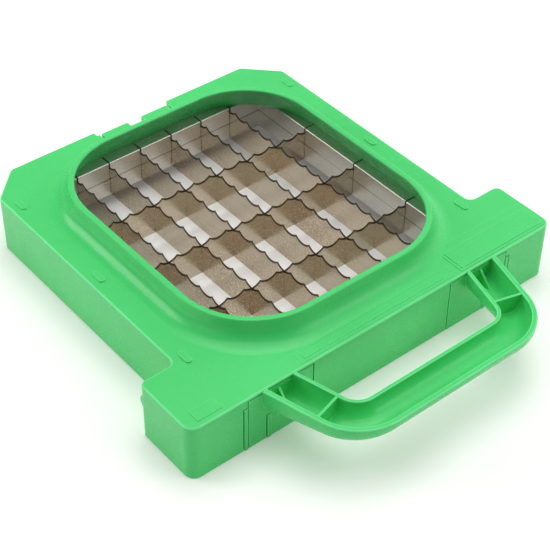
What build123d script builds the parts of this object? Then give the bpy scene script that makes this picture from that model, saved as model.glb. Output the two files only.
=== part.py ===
from build123d import *
import os
import math

# Blade cartridge of a press-type vegetable dicer: a green moulded cover and
# tray that clamp a stainless blade grid (7 x 4 cells, 25.4 x 50.8 mm), with a
# pull handle keyed into the front wall.
# All lengths in millimetres, +Z up. The model is drawn with y = 0 on the front
# wall and is moved at export so the origin is the bottom centre of its box.

# ---------------------------------------------------------------- dimensions
BODY_W = 235.0          # width of the body behind the front bar
BAR_W = 285.0           # width of the front bar, over both shoulders
BAR_D = 48.0            # depth of the front bar
DEPTH = 259.5           # front wall to rear wall
TOP_Z = 41.0            # top face
LIP_Z = 55.5            # rim of the feed collar
WALL = 3.0              # moulded wall
CHAMFER = 22.0          # rear corner chamfers
EDGE_R = 1.2            # rounding along the top edges

GRID_Y = 128.0          # middle of the blade grid
PITCH_X = 25.4          # cell width
PITCH_Y = 50.8          # cell length
CELLS_X = 7
CELLS_Y = 4
GRID_HX = PITCH_X * CELLS_X / 2.0      # 88.9
GRID_HY = PITCH_Y * CELLS_Y / 2.0      # 101.6
BLADE_T = 0.8
BLADE_Z0 = 10.5         # straight lower edge of the blades
VALLEY_Z = 33.3         # scallop valleys
PEAK_Z = 36.1           # scallop points
SCALLOP = 12.7          # scallop pitch
TAIL = 4.6              # blade tail beyond the inner face of a rail
LAP_Z = 22.0            # level where crossing blades meet

RAIL_T = 1.2            # rail sheet
RAIL_TOP = 36.4
RAIL_SEAM = 23.5        # butt joint between upper and lower rails
RAIL_FLANGE = 13.5      # flange width outwards from the grid face
FLANGE_SLOT = 8.6       # reach of the comb slots into the flange
BEND_R = 0.8            # bend radius at the top of a rail
LOW_FLANGE = 6.4
SLOT_W = 1.2            # comb slots for the blade tails

MOUTH_HX, MOUTH_HY, MOUTH_R = 86.7, 100.0, 50.0     # rim of the feed mouth, inside
MOUTH_Y = 129.0
BASE_HX, BASE_HY, BASE_R = 97.1, 110.5, 60.4        # foot of the collar, inside
COLLAR_Z = 36.5         # underside of the collar
RIM_W = 4.7

REACH = 64.3            # handle reach in front of the front wall
GRIP_W = 24.0           # width of the handle channel over its rims
GRIP_Y = -REACH + GRIP_W / 2.0         # middle line of the grip
TURN_X, TURN_Y, TURN_R = 47.4, GRIP_Y + 24.0, 24.0
LEG_A = 15.2            # splay of the handle legs, degrees
FOOT_X0, FOOT_X1 = 54.6, 101.6         # foot plate of each leg
FOOT_TOP = 38.2
GAP = 0.35              # fitting gap between mouldings
NOTCH_GAP = 0.7         # gap round a foot plate in the front wall
FLANGE_Y1 = WALL + GAP + 3.0           # back of the keyed flange of a foot
HANDLE_SCREWS = [(FOOT_X0 + 8.0, FLANGE_Y1 + 4.6), (FOOT_X1 - 5.0, FLANGE_Y1 + 4.6)]

YC = (DEPTH - REACH) / 2.0             # middle of the overall length

os.makedirs("parts", exist_ok=True)


def put(name, shape):
    solids = list(shape.solids())
    moved = [Pos(0, -YC, 0) * s for s in solids]
    out = moved[0] if len(moved) == 1 else Compound(children=moved)
    out.label = name
    export_step(out, "parts/" + name + ".step")
    return out


def box(x0, x1, y0, y1, z0, z1):
    return Pos((x0 + x1) / 2.0, (y0 + y1) / 2.0, (z0 + z1) / 2.0) * Box(x1 - x0, y1 - y0, z1 - z0)


def rounded(hx, hy, r, z, cy=MOUTH_Y):
    return Pos(0, cy, z) * RectangleRounded(2 * hx, 2 * hy, r)


def outline(inset=0.0):
    """Plan of the cartridge: body, shoulders at the front, chamfered rear."""
    i = inset
    k = i * math.tan(math.radians(22.5))
    hb, he = BODY_W / 2.0 - i, BAR_W / 2.0 - i
    yc = DEPTH - CHAMFER
    pts = [(-he, i), (he, i), (he, BAR_D - i), (hb, BAR_D - i), (hb, yc - k),
           (hb - CHAMFER + i - k, DEPTH - i), (-hb + CHAMFER - i + k, DEPTH - i),
           (-hb, yc - k), (-hb, BAR_D - i), (-he, BAR_D - i)]
    face = make_face(Polyline([(x, y, 0) for x, y in pts], close=True).edges())
    outer = [v for v in face.vertices() if abs(abs(v.X) - he) < 0.01 and v.Y < BAR_D / 2]
    face = fillet(outer, max(7.0 - i, 1.0))
    outer = [v for v in face.vertices() if abs(abs(v.X) - he) < 0.01 and v.Y > BAR_D - i - 1]
    face = fillet(outer, max(4.5 - i, 1.0))
    vs = face.vertices()
    inner = [v for v in vs if abs(abs(v.X) - hb) < 0.01 and v.Y < BAR_D + 1]
    face = fillet(inner, 5.0 + i)
    vs = face.vertices()
    rear = [v for v in vs if v.Y > DEPTH - CHAMFER - k - 1]
    face = fillet(rear, max(5.0 - i, 1.0))
    return face


# ---------------------------------------------------------------- top cover
shell = extrude(outline(0.0), TOP_Z)
top_edges = [e for e in shell.edges() if e.bounding_box().min.Z > TOP_Z - 0.01]
shell = fillet(top_edges, EDGE_R)
low_edges = [e for e in shell.edges() if e.bounding_box().max.Z < 0.01]
shell = fillet(low_edges, 0.5)

# collar: a wall that leans inwards towards its rim, flared into the top face
collar_out = loft([rounded(MOUTH_HX + RIM_W, MOUTH_HY + RIM_W, MOUTH_R + RIM_W, LIP_Z),
                   rounded(MOUTH_HX + RIM_W + 4.4, MOUTH_HY + RIM_W + 4.4, MOUTH_R + RIM_W + 4.4, TOP_Z - 2.0)],
                  ruled=True)
shell = shell + collar_out
flare = [e for e in shell.edges()
         if abs(e.bounding_box().min.Z - TOP_Z) < 0.02 and abs(e.bounding_box().max.Z - TOP_Z) < 0.02
         and abs(e.center().X) < 101 and 12 < e.center().Y < 246]
try:
    shell = fillet(flare, 12.5)
    print("flare fillet ok", len(flare))
except Exception as err:
    print("flare fillet skipped", err)

cavity = extrude(outline(WALL), TOP_Z - WALL)
shell = shell - cavity
# inner ring under the top face that lands on the rails
ring = extrude(rounded(BASE_HX + 4.5, BASE_HY + 4.5, BASE_R + 4.5, COLLAR_Z), TOP_Z - WALL - COLLAR_Z + 0.5)
shell = shell + ring
mouth = loft([rounded(MOUTH_HX, MOUTH_HY, MOUTH_R, LIP_Z), rounded(BASE_HX, BASE_HY, BASE_R, COLLAR_Z)], ruled=True)
mouth = mouth + extrude(rounded(MOUTH_HX, MOUTH_HY, MOUTH_R, LIP_Z - 0.001), 2.0)
shell = shell - mouth
rim = [e for e in shell.edges() if e.bounding_box().min.Z > LIP_Z - 0.01]
try:
    shell = fillet(rim, 1.1)
    print("rim fillet ok", len(rim))
except Exception as err:
    print("rim fillet skipped", err)

# rear catch: a pocket in the rear edge with two locating tabs in it
shell = shell - box(-30.5, 30.5, 250.0, DEPTH + 1, -1, TOP_Z + 1)
shell = shell + box(-30.5, 30.5, 247.2, 250.0, 0, TOP_Z)       # floor wall of the pocket
for s in (-1, 1):
    a, b = (5.8, 26.8) if s > 0 else (-26.8, -5.8)
    shell = shell + box(a, b, 249.9, 254.8, 26.0, TOP_Z)
    c, d = (28.6, 30.6) if s > 0 else (-30.6, -28.6)
    shell = shell + box(c, d, 249.9, 254.8, 0, TOP_Z)
    c, d = (26.8, 28.6) if s > 0 else (-28.6, -26.8)
    shell = shell - box(c, d, 248.4, 251.0, 26.0, TOP_Z + 1)

# side walls that close the pocket towards the inside
for s in (-1, 1):
    a, b = (30.5, 33.0) if s > 0 else (-33.0, -30.5)
    shell = shell + box(a, b, 247.2, DEPTH - 1.0, 0, TOP_Z - 1.0)

# low rounded pads on the top face, three along each side
PADS = [(s * 110.0, y) for s in (-1, 1) for y in (48.0, 135.2, 223.2)]
for wx, wy in PADS:
    pad = extrude(Pos(wx, wy, TOP_Z - 0.5) * SlotOverall(10.8, 4.6, rotation=90), 1.5)
    pad = fillet([e for e in pad.edges() if e.bounding_box().min.Z > TOP_Z + 0.99], 0.35)
    shell = shell + pad

# notches in the front wall for the handle feet, wider below z = 34
for s in (-1, 1):
    x0, x1 = sorted((s * (FOOT_X0 - NOTCH_GAP), s * (FOOT_X1 + NOTCH_GAP)))
    shell = shell - box(x0, x1, -1, WALL + 0.1, -1, FOOT_TOP + NOTCH_GAP)
    x0, x1 = sorted((s * (FOOT_X1 - 1), s * (FOOT_X1 + 3.3 + NOTCH_GAP)))
    shell = shell - box(x0, x1, -1, WALL + 0.1, -1, 34.1)
notch = []
for e in shell.edges():
    b = e.bounding_box()
    if abs(b.min.Y) < 0.01 and abs(b.max.Y) < 0.01 and b.min.Z > 0.4 and b.max.Z < TOP_Z - 1.3 and b.max.Z - b.min.Z > -1:
        if 52 < abs(e.center().X) < 108:
            notch.append(e)
try:
    shell = fillet(notch, 0.35)
    print("notch fillet ok", len(notch))
except Exception as err:
    print("notch fillet skipped", len(notch), err)

# small latch bumps on the rear faces of the shoulders
for s in (-1, 1):
    bump = Pos(s * 138.4, BAR_D - 4.2, 25.5) * Rot(0, 90, 0) * Cylinder(6.2, 4.4)
    bump = bump & box(-200, 200, BAR_D - 1.2, BAR_D + 5, 15, 36)
    shell = shell + bump

# blank raised panels of the front bar


def panel(x0, x1, y0, y1, z0, z1, r=0.8):
    p = extrude(Pos((x0 + x1) / 2.0, (y0 + y1) / 2.0, z0) * RectangleRounded(x1 - x0, y1 - y0, r), z1 - z0)
    return fillet([e for e in p.edges() if e.bounding_box().min.Z > z1 - 0.01], 0.15)


shell = shell + panel(65.3, 138.8, 2.2, 26.8, TOP_Z - 0.2, TOP_Z + 0.4)
shell = shell + panel(67.3, 137.0, 4.0, 21.1, TOP_Z, TOP_Z + 0.8)
shell = shell + panel(-61.0, 62.0, 2.4, 11.8, TOP_Z - 0.2, TOP_Z + 0.3)
shell = shell + panel(-57.5, 53.5, 4.2, 8.8, TOP_Z, TOP_Z + 0.6)
shell = shell + panel(-134.0, -117.0, 3.9, 12.9, TOP_Z - 0.2, TOP_Z + 0.4)

# screw posts hanging from the top face
COVER_SCREWS = [(s * x, y) for s in (-1, 1) for x, y in ((130.0, 16.0), (130.0, 38.0), (109.0, 92.0), (109.0, 178.0), (84.0, 249.0))]
for px, py in COVER_SCREWS:
    post = Pos(px, py, (9.0 + TOP_Z - WALL) / 2.0) * Cylinder(3.6, TOP_Z - WALL - 9.0 + 0.4)
    hole = Pos(px, py, 9.0 + 7.5) * Cylinder(1.75, 17.0)
    shell = shell + post
    shell = shell - hole

# stiffening ribs under the top face, across the front bar
for rx in (-40.0, 0.0, 40.0):
    shell = shell + box(rx - 1.0, rx + 1.0, WALL - 0.2, 10.5, 26.0, TOP_Z - WALL + 0.2)

cover = shell
put("top_cover", cover)

# ---------------------------------------------------------------- base tray
TRAY_HX, TRAY_HY = GRID_HX + 7.4, GRID_HY + 9.0   # inner face of the rail well
TRAY_WX, TRAY_WY = 2.6, 2.2                       # its walls
LEDGE = 3.2                                       # the rails overhang the ledge by this much
tray = extrude(outline(WALL + GAP), 3.0)
for s in (-1, 1):
    tray = tray - (Pos(0, 0, 0) * box(-33.0 - GAP, 33.0 + GAP, 247.2 - GAP, DEPTH + 1, -1, 4))
well = box(-TRAY_HX - TRAY_WX, TRAY_HX + TRAY_WX, GRID_Y - TRAY_HY - TRAY_WY, GRID_Y + TRAY_HY + TRAY_WY, 0, RAIL_TOP - RAIL_T)
well = fillet(well.edges().filter_by(Axis.Z), 6.0)
bore = box(-TRAY_HX, TRAY_HX, GRID_Y - TRAY_HY, GRID_Y + TRAY_HY, BLADE_Z0, 60)
tray = tray + well
tray = tray - bore
# outlet through the ledge, open and wider below it
tray = tray - box(-GRID_HX - LEDGE, GRID_HX + LEDGE, GRID_Y - GRID_HY - LEDGE, GRID_Y + GRID_HY + LEDGE, -1, 12)
tray = tray - box(-TRAY_HX, TRAY_HX, GRID_Y - TRAY_HY, GRID_Y + TRAY_HY, -1, BLADE_Z0 - 3.0)
# rebate round the outlet, on the underside
tray = tray - box(-TRAY_HX - 2.2, TRAY_HX + 2.2, GRID_Y - TRAY_HY - 2.0, GRID_Y + TRAY_HY + 2.0, -1, 2.0)
# clear of the rear pocket wall of the cover
tray = tray - box(-33.0 - GAP, 33.0 + GAP, 247.2 - GAP, DEPTH + 1, -1, 60)

# handle feet sit in two sockets along the front
for s in (-1, 1):
    x0, x1 = sorted((s * (FOOT_X0 - 6.0), s * (FOOT_X1 + 9.0)))
    tray = tray - box(x0, x1, -1, FLANGE_Y1 + GAP, -1, 4)
    for bx, by in HANDLE_SCREWS:
        tray = tray + Pos(s * bx, by, 4.3) * Cylinder(4.2, 3.0)
        tray = tray - Pos(s * bx, by, 3.0) * Cylinder(1.9, 10.0)
        tray = tray - Pos(s * bx, by, 1.4) * Cylinder(3.8, 3.8)

# screw sockets: stand-off and counterbore
for px, py in COVER_SCREWS:
    tray = tray + Pos(px, py, 5.3) * Cylinder(4.6, 6.6)
    tray = tray - Pos(px, py, 3.0) * Cylinder(2.2, 14.0)
    tray = tray - Pos(px, py, 1.4) * Cylinder(4.0, 3.8)

# webs between the well and the rim of the tray
for wy in (70.0, 113.0, 157.0, 200.0):
    for s in (-1, 1):
        x0, x1 = sorted((s * (TRAY_HX + 2.2), s * (BODY_W / 2 - WALL - GAP - 0.6)))
        web = box(x0, x1, wy - 0.9, wy + 0.9, 2.8, 14.0)
        tray = tray + web
for wx in (-79.0, -22.0, 22.0, 79.0):
    tray = tray + box(wx - 0.9, wx + 0.9, 10.0, GRID_Y - TRAY_HY - 1.9, 2.8, 14.0)
print("tray solids", len(tray.solids()), round(tray.volume))
put("base_tray", tray)

# ---------------------------------------------------------------- pull handle
FLOOR_T = 2.6           # floor of the handle channel
RIM_IN, RIM_OUT = 2.6, 3.4              # rims on the gap side and on the outer side


def curve(c, half, depth, power, z0):
    """Points (u, z) of a smooth trough from one rim to the other."""
    pts = []
    n = 16
    for k in range(n + 1):
        t = math.pi * k / n
        cu, sz = math.cos(t), math.sin(t)
        u = math.copysign(abs(cu) ** (2.0 / power), cu) if abs(cu) > 1e-9 else 0.0
        pts.append((c + half * u, z0 - depth * abs(sz) ** (2.0 / power)))
    return pts


def section(cx, cy, ang, depth, power, solid=False):
    """Closed U section across the path at (cx, cy) with rounded rims, open upwards."""
    a = math.radians(ang)
    nx, ny = math.sin(a), -math.cos(a)          # outward normal in plan
    ro, ri = 0.9, 0.7
    h = GRIP_W / 2.0

    def p(u, z):
        return Vector(cx + nx * u, cy + ny * u, z)

    down, upw = Vector(0, 0, -1), Vector(0, 0, 1)
    out = [p(u, z) for u, z in curve(0.0, h, depth - ro, power, TOP_Z - ro)]
    q = math.sqrt(0.5)
    edges = [Spline(out, tangents=[down, upw])]
    edges.append(ThreePointArc(p(-h, TOP_Z - ro), p(-h + ro * (1 - q), TOP_Z - ro * (1 - q)), p(-h + ro, TOP_Z)))
    if solid:
        edges.append(Line(p(-h + ro, TOP_Z), p(h - ro, TOP_Z)))
    else:
        il, ir = -h + RIM_IN, h - RIM_OUT
        edges.append(Line(p(-h + ro, TOP_Z), p(il - ri, TOP_Z)))
        edges.append(ThreePointArc(p(il - ri, TOP_Z), p(il - ri * (1 - q), TOP_Z - ri * (1 - q)), p(il, TOP_Z - ri)))
        inn = [p(u, z) for u, z in curve((il + ir) / 2.0, (ir - il) / 2.0, depth - FLOOR_T - ri, power, TOP_Z - ri)]
        inn.reverse()
        edges.append(Spline(inn, tangents=[down, upw]))
        edges.append(ThreePointArc(p(ir, TOP_Z - ri), p(ir + ri * (1 - q), TOP_Z - ri * (1 - q)), p(ir + ri, TOP_Z)))
        edges.append(Line(p(ir + ri, TOP_Z), p(h - ro, TOP_Z)))
    edges.append(ThreePointArc(p(h - ro, TOP_Z), p(h - ro * (1 - q), TOP_Z - ro * (1 - q)), p(h, TOP_Z - ro)))
    return make_face(edges)


a0 = -90.0
arc_end = -LEG_A
stations = []       # (x, y, heading, depth, power of the trough curve)
stations.append((0.0, GRIP_Y, 0.0, 12.6, 2.1))
stations.append((TURN_X, GRIP_Y, 0.0, 12.6, 2.1))
n_arc = 6
for k in range(1, n_arc + 1):
    f = k / n_arc
    ph = math.radians(a0 + (arc_end - a0) * f)
    x = TURN_X + TURN_R * math.cos(ph)
    y = TURN_Y + TURN_R * math.sin(ph)
    stations.append((x, y, math.degrees(ph) + 90.0, 12.6 + 2.9 * f, 2.1 + 0.4 * f))
ex_, ey_ = stations[-1][0], stations[-1][1]
lx, ly = math.sin(math.radians(LEG_A)), math.cos(math.radians(LEG_A))
leg_len = (0.0 - ey_) / ly + 7.0
stations.append((ex_ + lx * leg_len, ey_ + ly * leg_len, 90.0 - LEG_A, 18.8, 3.2))


def channel(solid=False):
    secs = [section(x, y, h, d, w, solid) for (x, y, h, d, w) in stations]
    # straight grip, smooth turn, straight leg
    body = loft([secs[0], secs[1]], ruled=True)
    body = body + loft(secs[1:2 + n_arc])
    body = body + loft([secs[1 + n_arc], secs[-1]], ruled=True)
    return body


half = channel(False)
outer_h = channel(True)
print("handle half", len(half.solids()), round(half.volume), round(outer_h.volume))
# cross rib where the leg meets the turn, following the channel outline
rx, ry = ex_ + lx * 3.4, ey_ + ly * 3.4
ribplate = Pos(rx, ry, TOP_Z - 10.6) * Rot(0, 0, -LEG_A) * Box(GRIP_W - 4.0, 1.5, 20.0)
half = half + (ribplate & outer_h)
half = half - box(-300, 300, 0.0, 60, -10, 100)
half = half - box(-300, 300, -GAP, 60, FOOT_TOP, 100)
# foot plate, the rib beside it and the keyed flange behind the front wall
foot = box(FOOT_X0, FOOT_X1, 0.0, WALL, 0.0, FOOT_TOP) + box(FOOT_X0, FOOT_X1, WALL - 0.1, WALL + 0.4, 0.0, TOP_Z - WALL - GAP)
front_edges = [e for e in foot.edges() if e.bounding_box().max.Y < 0.01
               and (e.bounding_box().min.Z > FOOT_TOP - 0.01 or e.bounding_box().max.X < FOOT_X0 + 0.01)]
foot = fillet(front_edges, 0.5)
flank = box(FOOT_X1 + 0.5, FOOT_X1 + 3.3, -0.3, WALL + 0.4, 0.0, 33.4)
flank = fillet([e for e in flank.edges() if e.bounding_box().max.Y < -0.29 and e.bounding_box().max.Z > 0.1], 0.6)
flank = flank + box(FOOT_X1 - 0.5, FOOT_X1 + 0.7, 1.4, WALL + 0.4, 0.0, 33.4)
flange = box(FOOT_X0 - 5.0, FOOT_X1 + 8.0, WALL + GAP, WALL + GAP + 3.0, 1.0, TOP_Z - WALL - GAP)
half = half + foot + flank + flange
# gusset
gus = extrude(make_face(Polyline([(79.3, 0.2, 36.6), (79.3, -11.0, 24.6), (79.3, -11.0, 23.4), (79.3, 0.2, 23.4)], close=True).edges()), 1.4, dir=(1, 0, 0))
half = half + gus
# groove and low rib on the foot plate
half = half - box(88.4, 89.2, -0.1, 1.5, -0.5, 19.5)
rib = box(85.6, 88.4, -0.5, 0.2, 0.0, 19.2)
rib = fillet([e for e in rib.edges() if e.bounding_box().max.Y < -0.49 and e.bounding_box().max.Z > 0.1], 0.35)
half = half + rib
for bx, by in HANDLE_SCREWS:
    half = half + Pos(bx, by, 15.0) * Cylinder(3.6, 18.0) + box(bx - 1.2, bx + 1.2, WALL + GAP + 2.0, by, 6.0, 24.0)
    half = half - Pos(bx, by, 11.5) * Cylinder(1.5, 13.0)
other = mirror(half, about=Plane.YZ)
handle = half + other
print("handle solids", len(handle.solids()), round(handle.volume))
put("pull_handle", handle)

# ---------------------------------------------------------------- rails
LONG_X = [PITCH_X * (i - 2.5) for i in range(CELLS_X - 1)]           # six long blades
CROSS_Y = [GRID_Y + PITCH_Y * (i - 1) for i in range(CELLS_Y - 1)]   # three cross blades


def soften(body, axis, face, upper):
    """Round the edge next to the grid: the bend of an upper rail, the sheared edge of a lower one."""
    z = RAIL_TOP if upper else RAIL_SEAM - 0.1
    found = []
    for e in body.edges():
        b = e.bounding_box()
        lo, hi = (b.min.X, b.max.X) if axis == 0 else (b.min.Y, b.max.Y)
        if abs(lo - face) < 0.01 and abs(hi - face) < 0.01 and abs(b.min.Z - z) < 0.01 and abs(b.max.Z - z) < 0.01:
            found.append(e)
    return fillet(found, BEND_R if upper else 0.35)


def rail(along, side, upper):
    """L-section rail. along is 'x' (front and rear) or 'y' (left and right)."""
    hx, hy = GRID_HX, GRID_HY
    f = RAIL_FLANGE if upper else LOW_FLANGE
    z0, z1 = (RAIL_SEAM + 0.1, RAIL_TOP) if upper else (BLADE_Z0, RAIL_SEAM - 0.1)
    zf0, zf1 = (RAIL_TOP - RAIL_T, RAIL_TOP) if upper else (BLADE_Z0, BLADE_Z0 + RAIL_T)
    if along == "x":
        # the web runs between the side rails, its flange is mitred by a square butt
        n = side
        web = box(-hx, hx, *sorted((GRID_Y + n * hy, GRID_Y + n * (hy + RAIL_T))), z0, z1)
        fl = box(-hx, hx, *sorted((GRID_Y + n * hy, GRID_Y + n * (hy + f))), zf0, zf1)
        body = soften(web + fl, 1, GRID_Y + n * hy, upper)
        for bx in LONG_X:
            if upper:
                cut = box(bx - SLOT_W / 2, bx + SLOT_W / 2,
                          *sorted((GRID_Y + n * (hy - 1), GRID_Y + n * (hy + FLANGE_SLOT))), RAIL_SEAM - 1, RAIL_TOP + 1)
            else:
                cut = box(bx - SLOT_W / 2, bx + SLOT_W / 2,
                          *sorted((GRID_Y + n * (hy - 1), GRID_Y + n * (hy + TAIL + 0.5))), BLADE_Z0 + 1.6, RAIL_SEAM + 1)
            body = body - cut
    else:
        n = side
        yl = hy + RAIL_T
        web = box(*sorted((n * hx, n * (hx + RAIL_T))), GRID_Y - yl, GRID_Y + yl, z0, z1)
        fl = box(*sorted((n * (hx + 0.0), n * (hx + f))), GRID_Y - hy - (f if upper else RAIL_T), GRID_Y + hy + (f if upper else RAIL_T), zf0, zf1)
        # leave the corner squares to this rail, outside the mating flange ends
        body = soften(web + fl, 0, n * hx, upper)
        for by in CROSS_Y:
            if upper:
                cut = box(*sorted((n * (hx - 1), n * (hx + FLANGE_SLOT))), by - SLOT_W / 2, by + SLOT_W / 2, RAIL_SEAM - 1, RAIL_TOP + 1)
            else:
                cut = box(*sorted((n * (hx - 1), n * (hx + TAIL + 0.5))), by - SLOT_W / 2, by + SLOT_W / 2, BLADE_Z0 + 1.6, RAIL_SEAM + 1)
            body = body - cut
    return body


for nm, along, side in (("rear", "x", 1), ("front", "x", -1), ("left", "y", -1), ("right", "y", 1)):
    put("upper_rail_" + nm, rail(along, side, True))
    put("lower_rail_" + nm, rail(along, side, False))


# ---------------------------------------------------------------- blades
def scallops(u0, u1, first):
    """Plan of a scalloped edge from u0 to u1 with valleys at first + k * pitch."""
    edges = []
    k0 = math.floor((u0 - first) / SCALLOP) - 1
    pts = []
    k = k0
    # arcs between points; points lie half way between valleys
    while True:
        a = first + (k - 0.5) * SCALLOP
        b = first + (k + 0.5) * SCALLOP
        if a >= u1:
            break
        if b > u0:
            pts.append((a, b))
        k += 1
    return pts


def blade_profile(half_len, first):
    """Closed outline (u, z) of a blade: straight back, scalloped edge, notched tails."""
    c = SCALLOP
    h = PEAK_Z - VALLEY_Z
    r = (c * c / 4.0 + h * h) / (2.0 * h)       # radius of each concave scallop
    end = half_len + RAIL_T + TAIL - 1.2
    tail_top = 31.0
    inner = half_len - 0.3
    lines = []
    arcs = scallops(-inner, inner, first)
    path = []
    for a, b in arcs:
        m = (a + b) / 2.0

        def zat(u):
            return VALLEY_Z + r - math.sqrt(max(r * r - (u - m) ** 2, 0.0))
        ua, ub = max(a, -inner), min(b, inner)
        if ub - ua < 0.05:
            continue
        um = (ua + ub) / 2.0
        path.append(((ua, zat(ua)), (um, zat(um)), (ub, zat(ub))))
    edges = []
    for p0, p1, p2 in path:
        edges.append(ThreePointArc((p0[0], p0[1], 0), (p1[0], p1[1], 0), (p2[0], p2[1], 0)))
    first_p, last_p = path[0][0], path[-1][2]
    zt = BLADE_Z0 + 1.8
    outline_pts = [last_p, (inner, tail_top), (end, tail_top), (end, zt), (inner, zt), (inner, BLADE_Z0),
                   (-inner, BLADE_Z0), (-inner, zt), (-end, zt), (-end, tail_top), (-inner, tail_top), first_p]
    for q0, q1 in zip(outline_pts[:-1], outline_pts[1:]):
        edges.append(Line((q0[0], q0[1], 0), (q1[0], q1[1], 0)))
    return make_face(edges)


def long_blade(x):
    f = blade_profile(GRID_HY, 0.0)
    b = extrude(f, BLADE_T / 2.0, both=True)
    b = Pos(x, GRID_Y, 0) * Rot(0, 0, 90) * Rot(90, 0, 0) * b
    for cy in CROSS_Y:
        b = b - box(x - 2, x + 2, cy - BLADE_T / 2 - 0.06, cy + BLADE_T / 2 + 0.06, BLADE_Z0 - 1, LAP_Z + 0.05)
    return b


def cross_blade(y):
    f = blade_profile(GRID_HX, SCALLOP)
    b = extrude(f, BLADE_T / 2.0, both=True)
    b = Pos(0, y, 0) * Rot(90, 0, 0) * b
    for bx in LONG_X:
        b = b - box(bx - BLADE_T / 2 - 0.06, bx + BLADE_T / 2 + 0.06, y - 2, y + 2, LAP_Z - 0.05, PEAK_Z + 2)
    return b


for i, x in enumerate(LONG_X):
    put("long_blade_%d" % (i + 1), long_blade(x))
for i, y in enumerate(CROSS_Y):
    put("cross_blade_%d" % (i + 1), cross_blade(y))


# ---------------------------------------------------------------- fasteners
def pan_screw(x, y, z_head, length, r, rh, hh):
    """Self-tapping screw driven upwards: pan head below, cross recess."""
    s = Pos(x, y, z_head + length / 2.0) * Cylinder(r, length)
    hd = Pos(x, y, z_head - hh / 2.0) * Cylinder(rh, hh)
    hd = fillet([e for e in hd.edges() if abs(e.center().Z - (z_head - hh)) < 0.01], 0.8)
    s = s + hd
    s = s - box(x - 1.8, x + 1.8, y - 0.4, y + 0.4, z_head - hh - 1, z_head - hh + 1.2)
    s = s - box(x - 0.4, x + 0.4, y - 1.8, y + 1.8, z_head - hh - 1, z_head - hh + 1.2)
    return s


cs = [pan_screw(px, py, 3.3, 17.0, 1.7, 3.7, 2.4) for px, py in COVER_SCREWS]
put("cover_screws", Compound(children=cs))
hs = []
for s in (-1, 1):
    for bx, by in HANDLE_SCREWS:
        hs.append(pan_screw(s * bx, by, 3.3, 13.0, 1.45, 3.5, 2.2))
put("handle_screws", Compound(children=hs))
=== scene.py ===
import bpy
import bmesh
import math
from mathutils import Vector, Matrix


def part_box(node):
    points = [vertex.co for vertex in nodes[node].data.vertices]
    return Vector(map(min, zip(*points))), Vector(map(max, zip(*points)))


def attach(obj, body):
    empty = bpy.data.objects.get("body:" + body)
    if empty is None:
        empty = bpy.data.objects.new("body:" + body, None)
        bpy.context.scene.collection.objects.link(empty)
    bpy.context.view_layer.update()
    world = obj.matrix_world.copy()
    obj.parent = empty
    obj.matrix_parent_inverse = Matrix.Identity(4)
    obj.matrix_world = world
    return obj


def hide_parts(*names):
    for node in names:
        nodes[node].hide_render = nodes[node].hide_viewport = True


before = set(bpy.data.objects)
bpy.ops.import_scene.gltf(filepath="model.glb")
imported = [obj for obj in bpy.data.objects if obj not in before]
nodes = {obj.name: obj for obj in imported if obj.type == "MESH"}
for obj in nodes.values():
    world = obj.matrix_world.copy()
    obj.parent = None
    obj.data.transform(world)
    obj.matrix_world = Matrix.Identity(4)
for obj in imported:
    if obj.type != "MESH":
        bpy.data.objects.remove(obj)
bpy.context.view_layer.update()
MM = 0.001

# ------------------------------------------------------------------ camera
AZ, EL, ROLL = math.radians(-39.607), math.radians(41.832), math.radians(0.679)
cam_data = bpy.data.cameras.new("camera")
cam_data.sensor_width = 36.0
cam_data.lens = 96.404
cam_data.clip_start = 0.01
cam_data.clip_end = 50.0
cam = bpy.data.objects.new("camera", cam_data)
bpy.context.scene.collection.objects.link(cam)
back = Vector((math.sin(AZ) * math.cos(EL), -math.cos(AZ) * math.cos(EL), math.sin(EL)))
right = (-back).cross(Vector((0, 0, 1))).normalized()
up = right.cross(-back)
r2 = right * math.cos(ROLL) + up * math.sin(ROLL)
u2 = up * math.cos(ROLL) - right * math.sin(ROLL)
m = Matrix((r2, u2, back)).transposed().to_4x4()
m.translation = Vector((-0.44906, -0.44125 - 0.0976, 0.63569))
cam.matrix_world = m
bpy.context.scene.camera = cam

# ------------------------------------------------------------------ positions from the frame
lb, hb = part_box("top_cover")
Y_FRONT = lb.y                          # front wall
TOP_Z = 41.0 * MM                       # top face of the cover
ru0, ru1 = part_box("upper_rail_rear")
rf0, rf1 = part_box("upper_rail_front")
GRID_Y = (ru0.y + rf1.y) / 2.0
GRID_HY = (ru0.y - rf1.y) / 2.0
GRID_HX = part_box("upper_rail_right")[0].x
BLADE_X = [sum((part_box("long_blade_%d" % i)[k].x for k in (0, 1))) / 2.0 for i in range(1, 7)]
BLADE_Y = [sum((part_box("cross_blade_%d" % i)[k].y for k in (0, 1))) / 2.0 for i in range(1, 4)]
bl0, bl1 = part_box("long_blade_1")
BLADE_Z0, BLADE_Z1 = bl0.z, bl1.z


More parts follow.
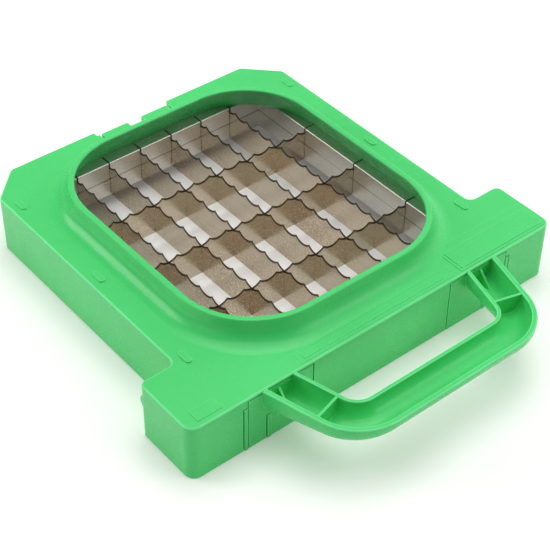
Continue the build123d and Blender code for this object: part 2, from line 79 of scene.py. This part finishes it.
# ------------------------------------------------------------------ node helpers
class Tree:
    """Small helper for node trees."""

    def __init__(self, name):
        self.mat = bpy.data.materials.new(name)
        self.mat.use_nodes = True
        self.nt = self.mat.node_tree
        self.nt.nodes.clear()
        self.out = self.nt.nodes.new("ShaderNodeOutputMaterial")
        self.bsdf = self.nt.nodes.new("ShaderNodeBsdfPrincipled")
        self.nt.links.new(self.bsdf.outputs[0], self.out.inputs[0])
        tc = self.nt.nodes.new("ShaderNodeTexCoord")
        self.co = tc.outputs["Object"]

    def link(self, a, b):
        self.nt.links.new(a, b)

    def mapping(self, scale, rot=(0, 0, 0), src=None):
        n = self.nt.nodes.new("ShaderNodeMapping")
        n.inputs["Scale"].default_value = scale
        n.inputs["Rotation"].default_value = rot
        self.link(src or self.co, n.inputs["Vector"])
        return n.outputs[0]

    def noise(self, vec, scale, detail=3.0, rough=0.55):
        n = self.nt.nodes.new("ShaderNodeTexNoise")
        n.inputs["Scale"].default_value = scale
        n.inputs["Detail"].default_value = detail
        n.inputs["Roughness"].default_value = rough
        self.link(vec, n.inputs["Vector"])
        return n.outputs["Fac"]

    def ramp(self, fac, stops):
        n = self.nt.nodes.new("ShaderNodeValToRGB")
        e = n.color_ramp.elements
        while len(e) < len(stops):
            e.new(0.5)
        for k, (p, c) in enumerate(stops):
            e[k].position = p
            e[k].color = c if len(c) == 4 else (*c, 1.0)
        self.link(fac, n.inputs[0])
        return n.outputs[0]

    def maprange(self, v, a, b, c, d):
        n = self.nt.nodes.new("ShaderNodeMapRange")
        for k, x in enumerate((a, b, c, d)):
            n.inputs[k + 1].default_value = x
        self.link(v, n.inputs[0])
        return n.outputs[0]

    def math(self, op, a, b=None, clamp=False):
        n = self.nt.nodes.new("ShaderNodeMath")
        n.operation = op
        n.use_clamp = clamp
        for k, x in enumerate((a, b)):
            if x is None:
                continue
            if isinstance(x, (int, float)):
                n.inputs[k].default_value = x
            else:
                self.link(x, n.inputs[k])
        return n.outputs[0]

    def mix(self, fac, a, b):
        n = self.nt.nodes.new("ShaderNodeMix")
        n.data_type = "RGBA"
        for sock, x in ((n.inputs[0], fac), (n.inputs[6], a), (n.inputs[7], b)):
            if isinstance(x, (int, float)):
                sock.default_value = x
            elif isinstance(x, tuple):
                sock.default_value = x if len(x) == 4 else (*x, 1.0)
            else:
                self.link(x, sock)
        return n.outputs[2]

    def edge_mask(self, radius, lo, hi):
        """1 near edges: how far the rounded normal turns from the true one."""
        bev = self.nt.nodes.new("ShaderNodeBevel")
        bev.samples = 6
        bev.inputs[0].default_value = radius
        geo = self.nt.nodes.new("ShaderNodeNewGeometry")
        dot = self.nt.nodes.new("ShaderNodeVectorMath")
        dot.operation = "DOT_PRODUCT"
        self.link(bev.outputs[0], dot.inputs[0])
        self.link(geo.outputs["True Normal"], dot.inputs[1])
        inv = self.math("SUBTRACT", 1.0, dot.outputs["Value"])
        return self.maprange(inv, lo, hi, 0.0, 1.0)

    def bump(self, height, strength, distance, normal=None):
        n = self.nt.nodes.new("ShaderNodeBump")
        n.inputs["Strength"].default_value = strength
        n.inputs["Distance"].default_value = distance
        self.link(height, n.inputs["Height"])
        if normal is not None:
            self.link(normal, n.inputs["Normal"])
        return n.outputs[0]


def lin(r, g, b):
    def f(c):
        c /= 255.0
        return c / 12.92 if c <= 0.04045 else ((c + 0.055) / 1.055) ** 2.4
    return (f(r), f(g), f(b))


def green_plastic():
    t = Tree("green_moulding")
    broad = t.noise(t.co, 9.0, 2.0)
    mid = t.noise(t.co, 60.0, 3.0)
    fine = t.noise(t.co, 1900.0, 2.0, 0.6)
    grain = t.noise(t.co, 5200.0, 1.0, 0.5)
    c = t.mix(t.maprange(broad, 0.35, 0.65, 0.0, 1.0), lin(70, 206, 110), lin(76, 214, 117))
    c = t.mix(t.maprange(mid, 0.55, 0.8, 0.0, 0.10), c, lin(80, 214, 122))
    edge = t.edge_mask(0.0018, 0.03, 0.20)
    # painted highlight on the rounded strip along the outer top edges, taken from height and slope
    geo = t.nt.nodes.new("ShaderNodeNewGeometry")
    sep = t.nt.nodes.new("ShaderNodeSeparateXYZ")
    t.link(geo.outputs["True Normal"], sep.inputs[0])
    pos = t.nt.nodes.new("ShaderNodeSeparateXYZ")
    t.link(t.co, pos.inputs[0])
    slope = t.math("MULTIPLY", t.maprange(sep.outputs[2], 0.08, 0.25, 0.0, 1.0), t.maprange(sep.outputs[2], 0.985, 0.998, 1.0, 0.0))
    level = t.math("MULTIPLY", t.maprange(pos.outputs[2], TOP_Z - 1.5 * MM, TOP_Z - 1.25 * MM, 0.0, 1.0),
                   t.maprange(pos.outputs[2], TOP_Z - 0.02 * MM, TOP_Z + 0.02 * MM, 1.0, 0.0))
    edge = t.math("MAXIMUM", edge, t.math("MULTIPLY", slope, level))
    # edges and the top-edge strip lightened toward pale green: partly wear, partly painted highlight
    wear_and_painted_highlight = t.math("MULTIPLY", edge, t.maprange(mid, 0.35, 0.6, 0.75, 1.0))
    c = t.mix(t.math("MULTIPLY", wear_and_painted_highlight, 0.60), c, lin(132, 252, 172))
    t.link(c, t.bsdf.inputs["Base Color"])
    r = t.maprange(mid, 0.3, 0.7, 0.23, 0.27)
    r = t.math("ADD", r, t.maprange(fine, 0.3, 0.7, -0.03, 0.05))
    t.link(t.math("ADD", r, t.math("MULTIPLY", wear_and_painted_highlight, 0.08)), t.bsdf.inputs["Roughness"])
    b = t.bump(fine, 0.05, 0.0002)
    b = t.bump(grain, 0.03, 0.0001, b)
    b = t.bump(t.noise(t.co, 22.0, 2.0), 0.02, 0.0015, b)
    t.link(b, t.bsdf.inputs["Normal"])
    t.bsdf.inputs["IOR"].default_value = 1.5
    t.bsdf.inputs["Specular IOR Level"].default_value = 0.36
    return t.mat


def grey_plastic():
    t = Tree("grey_moulding")
    mid = t.noise(t.co, 70.0, 3.0)
    fine = t.noise(t.co, 1900.0, 2.0, 0.6)
    c = t.mix(t.maprange(mid, 0.35, 0.7, 0.0, 1.0), (0.030, 0.031, 0.033), (0.042, 0.043, 0.045))
    edge = t.edge_mask(0.0010, 0.02, 0.24)
    c = t.mix(t.math("MULTIPLY", edge, 0.5), c, (0.10, 0.10, 0.105))
    t.link(c, t.bsdf.inputs["Base Color"])
    r = t.maprange(mid, 0.3, 0.7, 0.40, 0.48)
    t.link(t.math("ADD", r, t.maprange(fine, 0.3, 0.7, -0.03, 0.05)), t.bsdf.inputs["Roughness"])
    t.link(t.bump(fine, 0.12, 0.0002), t.bsdf.inputs["Normal"])
    t.bsdf.inputs["IOR"].default_value = 1.5
    return t.mat


def steel(name, along, tint, rough=(0.26, 0.36), lines=1.0, wear=0.5, metal=1.0, grit=0.0, seam=None):
    """Brushed stainless, lines run along the given axis (0 = x, 1 = y, 2 = z)."""
    t = Tree(name)
    sc = [900.0, 900.0, 900.0]
    sc[along] = 9.0
    v = t.mapping(tuple(sc))
    streak = t.noise(v, 1.0, 3.0, 0.65)
    sc2 = [230.0, 230.0, 230.0]
    sc2[along] = 3.5
    wide = t.noise(t.mapping(tuple(sc2)), 1.0, 2.0, 0.5)
    cloud = t.noise(t.co, 34.0, 3.0, 0.6)
    c = t.mix(t.maprange(streak, 0.3, 0.7, 0.0, 1.0), tuple(x * 0.90 for x in tint), tint)
    c = t.mix(t.maprange(cloud, 0.35, 0.7, 0.0, 0.35), c, tuple(x * f for x, f in zip(tint, (0.90, 0.86, 0.80))))
    if grit:
        speck = t.noise(t.co, 1000.0, 2.0, 0.7)
        c = t.mix(t.maprange(speck, 0.38, 0.66, 0.45 * grit, 0.0), c, tuple(x * 0.60 for x in tint))
        c = t.mix(t.maprange(speck, 0.50, 0.72, 0.0, 0.55 * grit), c, tuple(min(x * 1.55, 0.97) for x in tint))
        tone = t.noise(t.co, 16.0, 2.0, 0.5)
        c = t.mix(t.maprange(tone, 0.35, 0.65, 0.0, 0.5 * grit), c, tuple(x * f for x, f in zip(tint, (0.93, 1.00, 1.05))))
    # painted shade: a dark line along the seam between the lower and upper rails, where the gap's shadow falls
    if seam is not None:
        pos = t.nt.nodes.new("ShaderNodeSeparateXYZ")
        t.link(t.co, pos.inputs[0])
        away = t.math("ABSOLUTE", t.math("SUBTRACT", pos.outputs[2], seam))
        c = t.mix(t.maprange(away, 0.00016, 0.00055, 0.8, 0.0), c, tuple(x * 0.16 for x in tint))
    edge = t.edge_mask(0.0005, 0.02, 0.3)
    c = t.mix(t.math("MULTIPLY", edge, wear), c, tuple(min(x * 1.18, 0.95) for x in tint))
    t.link(c, t.bsdf.inputs["Base Color"])
    t.bsdf.inputs["Metallic"].default_value = metal
    r = t.maprange(streak, 0.25, 0.75, rough[0], rough[1])
    r = t.math("ADD", r, t.maprange(wide, 0.3, 0.7, -0.03, 0.05))
    r = t.math("ADD", r, t.maprange(cloud, 0.4, 0.8, 0.0, 0.06))
    t.link(r, t.bsdf.inputs["Roughness"])
    b = t.bump(streak, 0.20 * lines, 0.00012)
    b = t.bump(wide, 0.10 * lines, 0.0003, b)
    b = t.bump(t.noise(t.co, 2600.0, 2.0, 0.6), 0.12 * lines, 0.0001, b)
    t.link(b, t.bsdf.inputs["Normal"])
    return t.mat


GREEN = green_plastic()
GREY = grey_plastic()
STEEL_TINT = (0.612, 0.514, 0.390)
BLADE_X_MAT = steel("blade_steel_x", 0, STEEL_TINT, (0.16, 0.26), grit=1.7)
BLADE_Y_MAT = steel("blade_steel_y", 1, STEEL_TINT, (0.16, 0.26), grit=1.7)
EDGE_MAT = steel("blade_ground_edge", 2, (0.20, 0.155, 0.11), (0.3, 0.4), 1.4, 0.1)
SEAM_Z = (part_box("lower_rail_rear")[1].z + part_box("upper_rail_rear")[0].z) / 2.0
RAIL_X_MAT = steel("rail_steel_x", 0, (0.68, 0.64, 0.58), (0.24, 0.36), metal=0.84, grit=1.0, seam=SEAM_Z)
RAIL_Y_MAT = steel("rail_steel_y", 1, (0.68, 0.64, 0.58), (0.24, 0.36), metal=0.84, grit=1.0, seam=SEAM_Z)
SCREW_MAT = steel("screw_steel", 2, (0.58, 0.58, 0.58), (0.25, 0.35), 0.4)


def dress(name, mat, smooth=math.radians(32)):
    o = nodes[name]
    me = o.data
    me.materials.clear()
    me.materials.append(mat)
    return o


for n in ("top_cover", "pull_handle"):
    dress(n, GREEN)
dress("base_tray", GREY)
for n in ("upper_rail_rear", "upper_rail_front", "lower_rail_rear", "lower_rail_front"):
    dress(n, RAIL_X_MAT)
for n in ("upper_rail_left", "upper_rail_right", "lower_rail_left", "lower_rail_right"):
    dress(n, RAIL_Y_MAT)
for n in ("cover_screws", "handle_screws"):
    dress(n, SCREW_MAT)

# ------------------------------------------------------------------ blades
VALLEY = 33.3 * MM
PEAK = 36.1 * MM
SCALLOP = 12.7 * MM
BLADE_T = 0.8 * MM
EDGE_T = 0.10 * MM
GRIND = 1.35 * MM
LAP = 22.0 * MM
TAIL_LO = 12.3 * MM
TAIL_HI = 31.0 * MM
RAD = ((SCALLOP / 2) ** 2 + (PEAK - VALLEY) ** 2) / (2 * (PEAK - VALLEY))


def edge_z(u, first):
    k = (u - first) / SCALLOP
    d = (k - math.floor(k + 0.5)) * SCALLOP
    return min(VALLEY + RAD - math.sqrt(max(RAD * RAD - d * d, 0.0)), PEAK - 0.08 * MM)


def blade(name, node, along, pos, centre, half, first, slots, from_below, mat):
    """A scalloped blade as a closed mesh: body, ground bevel along the edge, half-lap slots, tails."""
    end = half + 4.6 * MM
    inner = half - 0.3 * MM
    hw = 0.46 * MM
    cuts = {-inner, inner, -end, end}
    for s in slots:
        cuts |= {s - hw, s + hw}
    n = int(round(2 * half / SCALLOP)) * 14
    for k in range(n + 1):
        u = -half + 2 * half * k / n
        if -inner < u < inner and all(abs(u - c) > 0.25 * MM for c in cuts) and all(not (s - hw < u < s + hw) for s in slots):
            cuts.add(u)
    us = sorted(cuts)
    segs = []
    for u0, u1 in zip(us[:-1], us[1:]):
        um = (u0 + u1) / 2
        if abs(um) > inner:
            segs.append((u0, u1, TAIL_LO, TAIL_HI, TAIL_HI, False))
            continue
        zb = BLADE_Z0
        z0, z1, bev = edge_z(u0, first), edge_z(u1, first), True
        if any(s - hw < um < s + hw for s in slots):
            if from_below:
                zb = LAP
            else:
                z0 = z1 = LAP
                bev = False
        segs.append((u0, u1, zb, z0, z1, bev))
    levels = {}
    for u0, u1, zb, z0, z1, bev in segs:
        for u, z in ((u0, z0), (u1, z1)):
            s = levels.setdefault(round(u, 7), set())
            s.add(round(zb, 7))
            s.add(round(z - GRIND if bev else z, 7))
    bm = bmesh.new()
    cache = {}

    def V(u, off, z):
        key = (round(u, 7), round(off, 7), round(z, 7))
        if key not in cache:
            co = (pos + off, centre + u, z) if along == "y" else (centre + u, pos + off, z)
            cache[key] = bm.verts.new(co)
        return cache[key]

    def face(vs, mi=0):
        out = []
        for v in vs:
            if not out or out[-1] is not v:
                out.append(v)
        if out[0] is out[-1]:
            out.pop()
        if len(out) >= 3:
            try:
                f = bm.faces.new(out)
                f.material_index = mi
            except ValueError:
                pass

    ht, he = BLADE_T / 2, EDGE_T / 2

    def column(u, lo, hi):
        return [z for z in sorted(levels[round(u, 7)]) if lo - 1e-7 <= z <= hi + 1e-7]

    for k, (u0, u1, zb, z0, z1, bev) in enumerate(segs):
        s0, s1 = (z0 - GRIND, z1 - GRIND) if bev else (z0, z1)
        for sg in (1, -1):
            c0, c1 = column(u0, zb, s0), column(u1, zb, s1)
            face([V(u0, sg * ht, z) for z in c0] + [V(u1, sg * ht, z) for z in reversed(c1)])
            if bev:
                face([V(u0, sg * ht, s0), V(u0, sg * he, z0), V(u1, sg * he, z1), V(u1, sg * ht, s1)], 1)
        tt = he if bev else ht
        face([V(u0, tt, z0), V(u0, -tt, z0), V(u1, -tt, z1), V(u1, tt, z1)], 1 if bev else 0)
        face([V(u0, ht, zb), V(u1, ht, zb), V(u1, -ht, zb), V(u0, -ht, zb)])
    # step faces between neighbouring segments
    for (a, b) in zip(segs[:-1], segs[1:]):
        u = a[1]
        if abs(a[2] - b[2]) > 1e-7:
            lo, hi = sorted((a[2], b[2]))
            c = column(u, lo, hi)
            face([V(u, ht, z) for z in c] + [V(u, -ht, z) for z in reversed(c)])
        za, zb2 = a[4], b[3]
        if a[5] != b[5]:
            zt, zf = (za, zb2) if a[5] else (zb2, za)
            c = column(u, zf, zt - GRIND)
            face([V(u, ht, z) for z in c] + [V(u, he, zt), V(u, -he, zt)] + [V(u, -ht, z) for z in reversed(c)])
    for seg, u in ((segs[0], segs[0][0]), (segs[-1], segs[-1][1])):
        c = column(u, seg[2], seg[3])
        face([V(u, ht, z) for z in c] + [V(u, -ht, z) for z in reversed(c)])
    bmesh.ops.recalc_face_normals(bm, faces=bm.faces)
    me = bpy.data.meshes.new(name)
    bm.to_mesh(me)
    bm.free()
    me.materials.append(mat)
    me.materials.append(EDGE_MAT)
    o = bpy.data.objects.new(name, me)
    bpy.context.scene.collection.objects.link(o)
    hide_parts(node)
    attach(o, "root")
    return o


for i, x in enumerate(BLADE_X):
    blade("long_blade_%d_ground" % (i + 1), "long_blade_%d" % (i + 1), "y", x, GRID_Y, GRID_HY, 0.0,
          [y - GRID_Y for y in BLADE_Y], True, BLADE_Y_MAT)
for i, y in enumerate(BLADE_Y):
    blade("cross_blade_%d_ground" % (i + 1), "cross_blade_%d" % (i + 1), "x", y, 0.0, GRID_HX, SCALLOP,
          BLADE_X, False, BLADE_X_MAT)

# ------------------------------------------------------------------ stage and light
bm = bmesh.new()
bmesh.ops.create_grid(bm, x_segments=2, y_segments=2, size=6.0)
me = bpy.data.meshes.new("floor")
bm.to_mesh(me)
bm.free()
floor = bpy.data.objects.new("floor", me)
floor.location = (0, 0, -0.0002)
bpy.context.scene.collection.objects.link(floor)
fm = bpy.data.materials.new("pale_floor")
fm.use_nodes = True
fb = fm.node_tree.nodes["Principled BSDF"]
fb.inputs["Base Color"].default_value = (0.93, 0.925, 0.92, 1)
fb.inputs["Roughness"].default_value = 0.9
fb.inputs["Specular IOR Level"].default_value = 0.1
fb.inputs["Emission Color"].default_value = (1.0, 0.96, 0.92, 1)
fb.inputs["Emission Strength"].default_value = 0.13
me.materials.append(fm)

world = bpy.data.worlds.new("studio")
bpy.context.scene.world = world
world.use_nodes = True
wt = world.node_tree
bg = wt.nodes["Background"]
bg.inputs[0].default_value = (1.0, 0.99, 0.975, 1)
WORLD = {"const": 0.02, "up": 0.0, "left": 0.0, "right": 1.1, "front": 0.0, "back": 0.0}
coord = wt.nodes.new("ShaderNodeTexCoord")
sep = wt.nodes.new("ShaderNodeSeparateXYZ")
wt.links.new(coord.outputs["Generated"], sep.inputs[0])


def wmath(op, x, y):
    n = wt.nodes.new("ShaderNodeMath")
    n.operation = op
    for k, v in enumerate((x, y)):
        if isinstance(v, (int, float)):
            n.inputs[k].default_value = v
        else:
            wt.links.new(v, n.inputs[k])
    return n


total = None
for key, sock, sign in (("const", None, 1), ("up", 2, 1), ("left", 0, -1), ("right", 0, 1), ("front", 1, -1), ("back", 1, 1)):
    if sock is None:
        term = wmath("MULTIPLY", 1.0, WORLD[key])
    else:
        lobe = wmath("MAXIMUM", wmath("MULTIPLY", sep.outputs[sock], float(sign)).outputs[0], 0.0)
        term = wmath("MULTIPLY", lobe.outputs[0], WORLD[key])
    term.name = "w_" + key
    total = term if total is None else wmath("ADD", total.outputs[0], term.outputs[0])
wt.links.new(total.outputs[0], bg.inputs[1])


def area(name, loc, target, size, power, color=(1, 1, 1)):
    d = bpy.data.lights.new(name, "AREA")
    d.shape = "RECTANGLE"
    d.size, d.size_y = size
    d.energy = power
    d.color = color
    o = bpy.data.objects.new(name, d)
    o.location = loc
    o.rotation_euler = (Vector(target) - Vector(loc)).to_track_quat("-Z", "Y").to_euler()
    bpy.context.scene.collection.objects.link(o)
    return o


LIGHTS = [
    ("over", (0.45, 0.60, 1.75), (0.05, 0.0, 0.0), (1.3, 1.1), 4.5, (1.0, 1.0, 1.0)),
    ("zenith", (0.0, 0.0, 3.0), (0.0, 0.0, 0.0), (3.0, 3.0), 57.0, (1.0, 1.0, 1.0)),
    ("left_back", (-1.4, 1.6, 1.1), (0.0, 0.0, 0.0), (1.4, 1.0), 20.0, (1.0, 1.0, 1.0)),
    ("left", (-2.2, 0.0, 1.0), (0.0, 0.0, 0.0), (1.6, 1.2), 5.0, (1.0, 1.0, 1.0)),
    ("back", (0.4, 2.3, 1.2), (0.0, 0.0, 0.0), (1.8, 1.2), 1.5, (1.0, 1.0, 1.0)),
    ("front", (1.05, -1.47, 1.26), (0.0, 0.0, 0.0), (1.3, 0.9), 5.5, (1.0, 1.0, 1.0)),
]
for entry in LIGHTS:
    area(*entry)

sc = bpy.context.scene
sc.view_settings.view_transform = "Standard"
sc.view_settings.look = "None"
